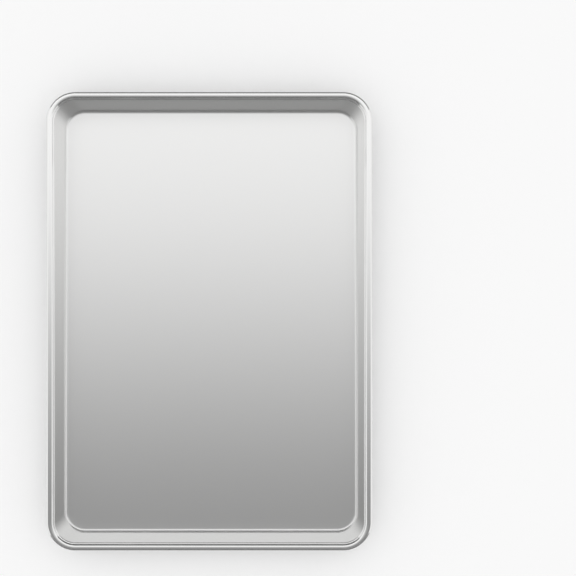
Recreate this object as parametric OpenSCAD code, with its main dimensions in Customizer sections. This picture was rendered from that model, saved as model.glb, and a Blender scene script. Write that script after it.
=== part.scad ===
// Jelly roll pan: one drawn sheet whose rim is rolled round a steel wire.
// Millimetres, +Z up, length along Y. The origin is under the middle of the floor.

/* [Pan] */
// Length over the rim
pan_l = 404; // [250:1:660]
// Width over the rim
pan_w = 287; // [180:1:460]
// Height from the underside of the floor to the top of the rim
pan_h = 26; // [18:0.5:50]
// Radius of the rim's outer edge at each corner
corner_r = 26; // [20:0.5:60]

/* [Sheet] */
// Thickness of the sheet
sheet_t = 0.9; // [0.6:0.05:1.3]
// Lean of the walls from upright, in degrees
wall_lean = 12; // [6:1:20]
// Radius of the cove where the floor turns up into a wall, on the inside of the pan
cove_r = 3; // [1:0.25:5]

/* [Rim] */
// Diameter of the stiffening wire
wire_d = 4.8; // [3:0.1:6]
// Clearance all round the wire inside the rolled sheet
wire_gap = 0.06; // [0.04:0.01:0.15]
// Radius of the shoulder at the top of a wall, on the outside of the pan
shoulder_r = 0.7; // [0.4:0.05:1.2]
// Slope of the sheet where the shoulder runs into the neck, in degrees from level
shoulder_slope = 24; // [15:1:40]
// Radius of the neck between the shoulder and the rolled bead, on the inside of the pan
neck_r = 0.8; // [0.4:0.05:1.2]
// Slope of the sheet where the neck runs into the rolled bead, in degrees from level
neck_slope = 62; // [50:1:70]
// Turn of the sheet round the wire, from the neck to its cut edge, in degrees
roll_turn = 315; // [270:1:325]
// Gap between the two cut ends of the wire, halfway along one long side
wire_joint = 0.5; // [0.2:0.1:2]

/* [Hidden] */
$fn = 96;
// Largest step of the section's bends, in degrees
arc_step = 10;

// Middle line of the sheet in each bend, and the outside of the rolled bead
cove_mid = cove_r + sheet_t / 2;
shoulder_mid = shoulder_r + sheet_t / 2;
neck_mid = neck_r + sheet_t / 2;
roll_mid = wire_d / 2 + wire_gap + sheet_t / 2;
bead_r = roll_mid + sheet_t / 2;

// Halves of the straight sides, which reach from one corner's centre to the next
side_x = pan_w / 2 - corner_r;
side_y = pan_l / 2 - corner_r;

// A bend's step along the section, [outwards, upwards], from one slope of the sheet to the next.
// The sheet turns up in the cove and the neck, and over in the shoulder and the roll.
function bend_up(r, from, to) = r * [sin(to) - sin(from), cos(from) - cos(to)];
function bend_over(r, from, to) = r * [sin(from) - sin(to), cos(to) - cos(from)];

// Places in a section through one side, counted outwards from the corner's centre and upwards
// from the underside. They are found along the sheet's middle line, from the wire to the floor.
wall_slope = 90 - wall_lean;
wire_at = [corner_r - bead_r, pan_h - bead_r];
neck_top = wire_at + roll_mid * [-sin(neck_slope), cos(neck_slope)];
neck_foot = neck_top - bend_up(neck_mid, shoulder_slope, neck_slope);
wall_top = neck_foot - bend_over(shoulder_mid, wall_slope, shoulder_slope);
cove_step = bend_up(cove_mid, 0, wall_slope);
wall_rise = wall_top.y - sheet_t / 2 - cove_step.y;
floor_edge = wall_top.x - wall_rise / tan(wall_slope) - cove_step.x;

// Centres of the bends
cove_at = [floor_edge, cove_r + sheet_t];
shoulder_at = wall_top + shoulder_mid * [sin(wall_slope), -cos(wall_slope)];
neck_at = neck_foot + neck_mid * [-sin(shoulder_slope), cos(shoulder_slope)];

// Points of an arc, and the same without its first point where it runs on from another arc
function arc(centre, r, from, to, first = 0) =
    let (steps = ceil(abs(to - from) / arc_step))
    [for (i = [first:steps]) let (a = from + (to - from) * i / steps) centre + r * [cos(a), sin(a)]];
function arc_on(centre, r, from, to) = arc(centre, r, from, to, 1);

// The roll goes over its top and its outermost point to the cut edge
function roll(r) = concat(
    arc_on(wire_at, r, neck_slope + 90, 90),
    arc_on(wire_at, r, 90, 0),
    arc_on(wire_at, r, 0, neck_slope + 90 - roll_turn)
);

// One face of the sheet, from the floor to the cut edge of the roll.
// side is 1 for the face inside the pan and -1 for the face under it.
function sheet_face(side) = let (off = side * sheet_t / 2) concat(
    [[0, sheet_t / 2 + off]],
    arc(cove_at, cove_mid - off, -90, wall_slope - 90),
    arc(shoulder_at, shoulder_mid + off, wall_slope + 90, shoulder_slope + 90),
    arc_on(neck_at, neck_mid - off, shoulder_slope - 90, neck_slope - 90),
    roll(roll_mid + off)
);
function reversed(points) = [for (i = [len(points) - 1:-1:0]) points[i]];

// Section of one side of the pan, from the corner's centre outwards
module side_section() {
    polygon(concat(sheet_face(1), reversed(sheet_face(-1))));
}

// Sweeps a section round the pan: along each straight side and through each corner
module round_the_pan() {
    for (turn = [0:3]) {
        along = turn % 2 == 0 ? side_y : side_x;
        across = turn % 2 == 0 ? side_x : side_y;
        rotate(90 * turn) {
            translate([across, 0, 0])
                rotate([90, 0, 0])
                    linear_extrude(2 * along, center = true) children();
            translate([across, along, 0]) rotate_extrude(angle = 90) children();
        }
    }
}

module pan_sheet() {
    color("#cfd0ce") union() {
        translate([-side_x, -side_y, 0]) cube([2 * side_x, 2 * side_y, sheet_t]);
        round_the_pan() side_section();
    }
}

// The wire is one rod bent round the rim, with its cut ends butted together
module bead_wire() {
    cut = wire_d + 1;
    color("#8d9093") difference() {
        round_the_pan() translate(wire_at) circle(d = wire_d);
        translate([side_x + wire_at.x, 0, wire_at.y]) cube([cut, wire_joint, cut], center = true);
    }
}

pan_sheet();
bead_wire();
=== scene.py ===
# %% [markdown]
# A jelly roll pan is one sheet of aluminium, drawn to a shallow tray, with its rim rolled round a
# steel wire. The measured model already holds its true sizes, and it is loaded first, so that
# every new piece is placed from it. One unit here is a metre.

# %% Load the measured pan
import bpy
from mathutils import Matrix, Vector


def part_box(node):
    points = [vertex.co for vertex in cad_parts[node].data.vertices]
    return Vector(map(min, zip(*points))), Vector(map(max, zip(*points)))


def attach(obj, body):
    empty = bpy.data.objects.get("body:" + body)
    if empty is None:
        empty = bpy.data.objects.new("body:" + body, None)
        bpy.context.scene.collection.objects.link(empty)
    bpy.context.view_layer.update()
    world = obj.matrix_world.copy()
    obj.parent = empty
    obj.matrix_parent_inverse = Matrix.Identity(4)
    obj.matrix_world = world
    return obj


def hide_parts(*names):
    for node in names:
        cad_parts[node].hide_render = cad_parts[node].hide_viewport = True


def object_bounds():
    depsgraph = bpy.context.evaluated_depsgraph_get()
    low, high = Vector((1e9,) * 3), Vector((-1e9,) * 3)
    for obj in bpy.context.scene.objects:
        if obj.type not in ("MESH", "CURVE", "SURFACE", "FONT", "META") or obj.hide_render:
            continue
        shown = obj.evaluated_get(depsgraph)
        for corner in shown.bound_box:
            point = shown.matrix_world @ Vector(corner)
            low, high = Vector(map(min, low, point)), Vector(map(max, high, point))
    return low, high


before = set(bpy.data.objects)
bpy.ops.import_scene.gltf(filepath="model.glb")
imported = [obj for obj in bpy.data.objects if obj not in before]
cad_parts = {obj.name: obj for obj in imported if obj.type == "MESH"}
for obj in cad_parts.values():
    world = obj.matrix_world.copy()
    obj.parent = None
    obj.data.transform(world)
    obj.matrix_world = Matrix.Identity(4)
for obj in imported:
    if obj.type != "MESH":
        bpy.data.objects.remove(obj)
cad_low, cad_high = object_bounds()
pan_size = cad_high - cad_low
print(f"the pan measures {pan_size.x:.4f} by {pan_size.y:.4f} by {pan_size.z:.4f} m")

# %% [markdown]
# Blender's mesh operators live in bmesh. A size is easier to check against the real pan in
# millimetres, so `mm` turns one into metres.

# %% Tools and units
from math import copysign, cos, radians, sin

import bmesh
import bpy
from mathutils import Vector

mm = 0.001
tiny = mm / 100
print(f"two points within {tiny} m of each other count as one place")

# %% [markdown]
# The stiffening wire stays as it was measured, and it says where the roll lies: the roll is a tube
# round the wire, and its top is the top of the pan. The other sizes are those of the sheet and of
# the tool that pressed it. Angles are in degrees.

# %% Sizes of the sheet
sheet_t = 0.9 * mm
wall_lean = 12
corner_r = 26 * mm
cove_r = 3 * mm
shoulder_r = 0.7 * mm
neck_r = 0.8 * mm
shoulder_slope = 24
neck_slope = 62
roll_turn = 315

wire_low, wire_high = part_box("bead_wire")
wire_z = (wire_low.z + wire_high.z) / 2
bead_r = cad_high.z - wire_z
corner_x = cad_high.x - corner_r
corner_y = cad_high.y - corner_r
print(f"the roll is {2 * bead_r / mm:.2f} mm thick, round a wire {wire_z / mm:.2f} mm up")

# %% [markdown]
# A rim like this is easiest to draw as the metalworker bends it: as one line, the middle of the
# sheet, that goes straight or turns. A vertex is spun about the centre of each bend, and the spin
# leaves a chain of edges behind it. `Pen` remembers where the line is and which way it heads, so a
# bend needs only its radius and its angle. The line starts at the cut edge of the roll and runs
# inwards, over the wire, down the neck, the shoulder and the wall, and through the cove.

# %% A pen that bends a line of edges
arc_step = 5
fewest_steps = 2


class Pen:
    """Draws a section in the XZ plane, heading at an angle from +X towards +Z."""

    def __init__(self, mesh, start, heading):
        self.mesh = mesh
        self.tip = mesh.verts.new(start)
        self.heading = heading

    def bend(self, radius, turn):
        side = 1 if turn > 0 else -1
        angle = radians(self.heading + 90 * side)
        centre = self.tip.co + radius * Vector((cos(angle), 0, sin(angle)))
        made = bmesh.ops.spin(
            self.mesh, geom=[self.tip], cent=centre, axis=(0, -1, 0),
            angle=radians(turn), steps=max(fewest_steps, round(abs(turn) / arc_step)),
        )
        self.tip = made["geom_last"][0]
        self.heading += turn

    def straight(self, length):
        angle = radians(self.heading)
        made = bmesh.ops.extrude_vert_indiv(self.mesh, verts=[self.tip])
        self.tip = made["verts"][0]
        step = length * Vector((cos(angle), 0, sin(angle)))
        bmesh.ops.translate(self.mesh, verts=[self.tip], vec=step)


print(f"a bend gets a point every {arc_step} degrees")

# %% [markdown]
# The section starts with the roll, which hugs the wire for most of a turn. The neck below it is the
# groove where the roll leaves the shoulder, and it is a small reverse bend. Sharp creases would be
# quicker to draw, but pressed metal has none, and it is the small radii that catch the light.

# %% Draw the roll, the neck and the shoulder
roll_mid = bead_r - sheet_t / 2
wire_out = corner_r - bead_r
start_angle = radians(neck_slope + 90 - roll_turn)

mesh = bmesh.new()
start = Vector((wire_out + roll_mid * cos(start_angle), 0, wire_z + roll_mid * sin(start_angle)))
pen = Pen(mesh, start, neck_slope + 180 - roll_turn)
for part_of_roll in (roll_turn - 90 - neck_slope, 90, neck_slope):
    pen.bend(roll_mid, part_of_roll)
pen.bend(neck_r + sheet_t / 2, shoulder_slope - neck_slope)
pen.bend(shoulder_r + sheet_t / 2, 90 - wall_lean - shoulder_slope)
wall_top = pen.tip.co.copy()
print(f"the wall starts {wall_top.z / mm:.2f} mm up, after {len(mesh.verts)} points")

# %% [markdown]
# The wall leans out, so that the cake comes free and the pans stack, and the cove joins it to the
# floor. The wall is as long as the height left over. Its long flat stretch gets a holding point
# close to each end: smooth shading blends the two faces at an edge, and without these points a bend
# would seem to reach halfway across the wall and the floor.

# %% Draw the wall and the cove
hold = 0.8 * mm
floor_border = 2 * mm

cove_mid = cove_r + sheet_t / 2
cove_rise = cove_mid * (1 - sin(radians(wall_lean)))
wall_run = (wall_top.z - sheet_t / 2 - cove_rise) / cos(radians(wall_lean))
for part_of_wall in (hold, wall_run - 2 * hold, hold):
    pen.straight(part_of_wall)
wall_foot = pen.tip.co.copy()
pen.bend(cove_mid, wall_lean - 90)
floor_edge = pen.tip.co.x
pen.straight(floor_border)
print(f"{len(mesh.verts)} points; the floor begins {(corner_r - floor_edge) / mm:.2f} mm inside the rim")

# %% [markdown]
# The pan's corners are rounder at the floor than a true offset of the rim, because the drawing tool
# gives the metal more room there. Each corner could be shaped by hand, but one number does for all
# four: `ease` is 0 at the shoulder and 1 at the floor. It is noted on each point of the section
# while that is still a single line, because every copy made from it inherits it.

# %% Note the corner's ease on the section
ease = mesh.verts.layers.float.new("ease")
below_shoulder = False
for point in mesh.verts:
    below_shoulder = below_shoulder or (point.co - wall_top).length < tiny
    if below_shoulder:
        share = (wall_top.z - point.co.z) / (wall_top.z - wall_foot.z)
        point[ease] = min(1.0, share)
print(f"{sum(1 for point in mesh.verts if point[ease] > 0)} points of the section get some ease")

# %% [markdown]
# The section now goes round the pan like a form tool: a quarter turn about each corner and a
# straight pull along each side. The last ring lands on the first, and the doubles are merged.

# %% Sweep the section round the pan
corner_steps = 24
weld = mm / 1000


def sweep(mesh, edges):
    corners = ((1, 1), (-1, 1), (-1, -1), (1, -1))
    pulls = ((-2 * corner_x, 0, 0), (0, -2 * corner_y, 0), (2 * corner_x, 0, 0), (0, 2 * corner_y, 0))
    for corner, pull in zip(corners, pulls):
        geometry = list({v for e in edges for v in e.verts}) + edges
        made = bmesh.ops.spin(
            mesh, geom=geometry, cent=(corner[0] * corner_x, corner[1] * corner_y, 0),
            axis=(0, 0, 1), angle=radians(90), steps=corner_steps,
        )
        edges = [g for g in made["geom_last"] if isinstance(g, bmesh.types.BMEdge)]
        made = bmesh.ops.extrude_edge_only(mesh, edges=edges)
        edges = [g for g in made["geom"] if isinstance(g, bmesh.types.BMEdge)]
        new_points = [g for g in made["geom"] if isinstance(g, bmesh.types.BMVert)]
        edges = [e for e in edges if all(v in set(new_points) for v in e.verts)]
        bmesh.ops.translate(mesh, verts=new_points, vec=pull)


bmesh.ops.translate(mesh, verts=mesh.verts, vec=(corner_x, corner_y, 0))
sweep(mesh, mesh.edges[:])
bmesh.ops.remove_doubles(mesh, verts=mesh.verts, dist=weld)
print(f"{len(mesh.verts)} points and {len(mesh.faces)} faces round the rim")

# %% [markdown]
# The floor closes the inner ring. It is one flat face, because a flat sheet needs no more.

# %% Close the floor
inner_edges = [e for e in mesh.edges if e.is_boundary and e.verts[0].co.z < sheet_t]
floor_face = bmesh.ops.contextual_create(mesh, geom=inner_edges)["faces"][0]
print(f"the floor's edge has {len(inner_edges)} edges")

# %% [markdown]
# Rounder corners at the floor are a look that the photo shows, about 3.5 mm of it. The centre of the
# corner moves in by the ease along both sides, and its radius grows by as much. So the corner still
# meets both straight sides without a step. The sides themselves have no points between the corners.

# %% Ease the corners
corner_ease = 3.5 * mm

for point in mesh.verts:
    signs = Vector((copysign(1, point.co.x), copysign(1, point.co.y), 0))
    centre = Vector((signs.x * corner_x, signs.y * corner_y, point.co.z))
    outwards = (point.co - centre).normalized()
    point.co += corner_ease * point[ease] * (outwards - signs)
print(f"{sum(1 for point in mesh.verts if point[ease] > 0)} points moved")

# %% [markdown]
# The faces have to agree on which side is out, and the floor's upper side is the one that a hand
# touches. Smooth shading then hides the facets of the bends.

# %% Turn the faces outwards
bmesh.ops.recalc_face_normals(mesh, faces=mesh.faces)
if floor_face.normal.z < 0:
    bmesh.ops.reverse_faces(mesh, faces=mesh.faces)
for face in mesh.faces:
    face.smooth = True
print(f"the floor faces up: {floor_face.normal.z > 0}")

# %% [markdown]
# The line was the middle of the sheet, so a Solidify modifier adds half the thickness on each side.
# The new piece shows the sheet in place of the measured one, and rests on the same body.

# %% Make the pan a solid sheet
pan_mesh = bpy.data.meshes.new("drawn_sheet")
mesh.to_mesh(pan_mesh)
mesh.free()
pan = bpy.data.objects.new("drawn_sheet", pan_mesh)
bpy.context.scene.collection.objects.link(pan)
thickness = pan.modifiers.new("thickness", "SOLIDIFY")
thickness.thickness = sheet_t
thickness.offset = 0
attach(pan, "root")
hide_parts("pan_sheet")
print(f"the sheet has {len(pan_mesh.polygons)} faces before it gets its thickness")

# %% [markdown]
# Shader maths reads best as Python. A `Value` is one socket of a node, and its operators add the
# Math node that does the same. `between` is the soft step that paints one finish into another.

# %% Shader maths as expressions


class Value:
    """A socket of a material or world, with - and * and a soft step of its own."""

    def __init__(self, shader, socket):
        self.shader = shader
        self.socket = socket

    def __mul__(self, other):
        return self.shader.node("Math", {"operation": "MULTIPLY"}, {0: self, 1: other})

    def __sub__(self, other):
        return self.shader.node("Math", {"operation": "SUBTRACT"}, {0: self, 1: other})

    def __rsub__(self, other):
        return self.shader.node("Math", {"operation": "SUBTRACT"}, {0: other, 1: self})

    __rmul__ = __mul__

    def between(self, low, high):
        """0 below low and 1 above high, with a smooth rise between them."""
        settings = {"interpolation_type": "SMOOTHSTEP"}
        return self.shader.node("MapRange", settings, {"Value": self, "From Min": low, "From Max": high})


print("a Value can be subtracted, multiplied and stepped")

# %% [markdown]
# Every material and the world are built by the same few calls. `node` adds one node: its settings go
# first, because they decide which sockets it has, and then its sockets get numbers or Values.
# `axis` reads one coordinate of the object's own space, so a finish stays on the metal wherever the
# pan goes. `finish` sends a shader to the output.

# %% Build nodes


class Shader:
    """The nodes of one material or world."""

    def __init__(self, owner, output="OutputMaterial"):
        owner.use_nodes = True
        self.tree = owner.node_tree
        self.tree.nodes.clear()
        self.output = output

    def node(self, kind, settings=None, values=None, output=0):
        made = self.tree.nodes.new("ShaderNode" + kind)
        for name, setting in (settings or {}).items():
            setattr(made, name, setting)
        for socket, value in (values or {}).items():
            if isinstance(value, Value):
                self.tree.links.new(value.socket, made.inputs[socket])
            else:
                made.inputs[socket].default_value = value
        return Value(self, made.outputs[output]) if made.outputs else None

    def axis(self, letter):
        place = self.node("TexCoord", output="Object")
        return self.node("SeparateXYZ", values={"Vector": place}, output=letter)

    def finish(self, kind, values):
        self.node(self.output, values={"Surface": self.node(kind, values=values)})


def grey(level):
    return (level, level, level, 1)


print("a grey of 1 is white:", grey(1))

# %% [markdown]
# The real sheet has three glosses. Its floor keeps the satin face that the mill gave it, the walls
# were ironed smoother between punch and die, and the roller burnished the bead most of all. They
# could be three materials, but on one sheet the gloss changes gradually, so one material changes
# its roughness with the height above the ground. Natural aluminium is a bright, almost neutral
# grey.

# %% Aluminium
aluminium_colour = (0.82, 0.82, 0.815, 1)
satin_roughness = 0.33
ironing = 0.17
burnishing = 0.08
ironed_from = 1.2 * mm
ironed_to = 4 * mm
burnished_from = 22.6 * mm
burnished_to = 23.6 * mm

aluminium = bpy.data.materials.new("aluminium_sheet")
shader = Shader(aluminium)
height = shader.axis("Z")
ironed = height.between(ironed_from, ironed_to)
burnished = height.between(burnished_from, burnished_to)
roughness = satin_roughness - ironed * ironing - burnished * burnishing
shader.finish("BsdfPrincipled", {"Base Color": aluminium_colour, "Metallic": 1.0, "Roughness": roughness})
pan_mesh.materials.append(aluminium)
print(f"roughness {satin_roughness} on the floor, {satin_roughness - ironing:.2f} on the wall")

# %% [markdown]
# The wire is galvanised steel, duller and darker than the sheet. It lies inside the roll, where no
# one sees it, so its measured mesh stays and one plain grey does.

# %% Steel wire
steel_colour = (0.55, 0.56, 0.57, 1)
steel_roughness = 0.4

steel = bpy.data.materials.new("steel_wire")
Shader(steel).finish(
    "BsdfPrincipled",
    {"Base Color": steel_colour, "Metallic": 1.0, "Roughness": steel_roughness},
)
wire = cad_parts["bead_wire"]
wire.data.materials.clear()
wire.data.materials.append(steel)
print(f"the wire has {len(wire.data.polygons)} faces")

# %% [markdown]
# The photo looks straight down. The rim is 461.4 pixels long in it and the pan's middle is at
# `pan_in_photo`, and the two give the lens and the place of the camera. Only a little lens shift is
# used, because the other views are taken with the same shift, and a large one would crop the pan
# there.

# %% Camera
photo_side = 576
rim_in_photo = 461.4
pan_in_photo = Vector((209.15, 321.3))
shift = Vector((0.03, 0.058))
eye_height = 750 * mm
sensor = 36

pixel = pan_size.y / rim_in_photo
below_eye = photo_side * Vector((0.5 - shift.x, 0.5 + shift.y))
away = (below_eye - pan_in_photo) * pixel
camera_data = bpy.data.cameras.new("camera")
camera = bpy.data.objects.new("camera", camera_data)
bpy.context.scene.collection.objects.link(camera)
bpy.context.scene.camera = camera
camera.location = (away.x, -away.y, cad_high.z + eye_height)
camera_data.sensor_width = sensor
camera_data.lens = sensor * eye_height / (photo_side * pixel)
camera_data.shift_x, camera_data.shift_y = shift
print(f"a {camera_data.lens:.1f} mm lens, {away.x / mm:.0f} mm to the right of the pan's middle")

# %% [markdown]
# The pan stands on a wide sheet of white paper, which makes the white ground and keeps the pan's
# soft shadow.

# %% Floor
paper_white = 0.95
floor_side = 30


def flat_sheet(name, width, length):
    grid = bmesh.new()
    bmesh.ops.create_grid(grid, x_segments=1, y_segments=1, size=0.5)
    bmesh.ops.scale(grid, verts=grid.verts, vec=(width, length, 1))
    data = bpy.data.meshes.new(name)
    grid.to_mesh(data)
    grid.free()
    made = bpy.data.objects.new(name, data)
    bpy.context.scene.collection.objects.link(made)
    return made


paper = bpy.data.materials.new("paper")
Shader(paper).finish("BsdfDiffuse", {"Color": grey(paper_white)})
ground = flat_sheet("floor", floor_side, floor_side)
ground.data.materials.append(paper)
print(f"the paper is {floor_side} m wide")

# %% [markdown]
# Bare metal looks like what it mirrors, so its light and dark come from cards, as in a studio. A
# wide ceiling card fades from dim at the front to bright at the back, and the floor shows that
# fade. Dark flags at both ends give the beads there their dark lines. A card is seen only in
# reflections, so it throws no light and no shadow on the paper. The fade runs between two places
# along the card, in metres from its middle. Sockets 6 and 7 of a Mix node are its two colours, and
# output 2 is the mixed one.

# %% Cards
fade_start = -0.35
fade_end = 0.4


def card(name, width, length, place, tilt, dim, bright):
    made = flat_sheet(name, width, length)
    made.location = place
    made.rotation_euler = (radians(tilt), 0, 0)
    made.visible_camera = False
    made.visible_diffuse = False
    made.visible_shadow = False
    made.visible_transmission = False
    made.visible_volume_scatter = False
    material = bpy.data.materials.new(name)
    shader = Shader(material)
    fade = shader.axis("Y").between(fade_start, fade_end)
    colours = {"Factor": fade, 6: grey(dim), 7: grey(bright)}
    shader.finish("Emission", {"Color": shader.node("Mix", {"data_type": "RGBA"}, colours, 2)})
    made.data.materials.append(material)
    print(f"{name}: {width} by {length} m, brightness {dim} to {bright}")


card("ceiling", 1.8, 1.7, (0, -0.05, 0.63), 0, dim=0.3, bright=1.1)
card("back_flag", 2.6, 0.62, (0, 0.95, 0.32), 90, dim=0.12, bright=0.12)
card("front_flag", 2.6, 0.62, (0, -0.95, 0.32), 90, dim=0.18, bright=0.18)

# %% [markdown]
# The photo's light is soft and comes from all round. An even white world gives that. Standard
# keeps the whites white, where the default transform would grey them.

# %% World
world_strength = 1.0

world = bpy.data.worlds.new("studio")
bpy.context.scene.world = world
Shader(world, "OutputWorld").finish("Background", {"Color": grey(1), "Strength": world_strength})
bpy.context.scene.view_settings.view_transform = "Standard"
print(f"a white world of strength {world_strength}")
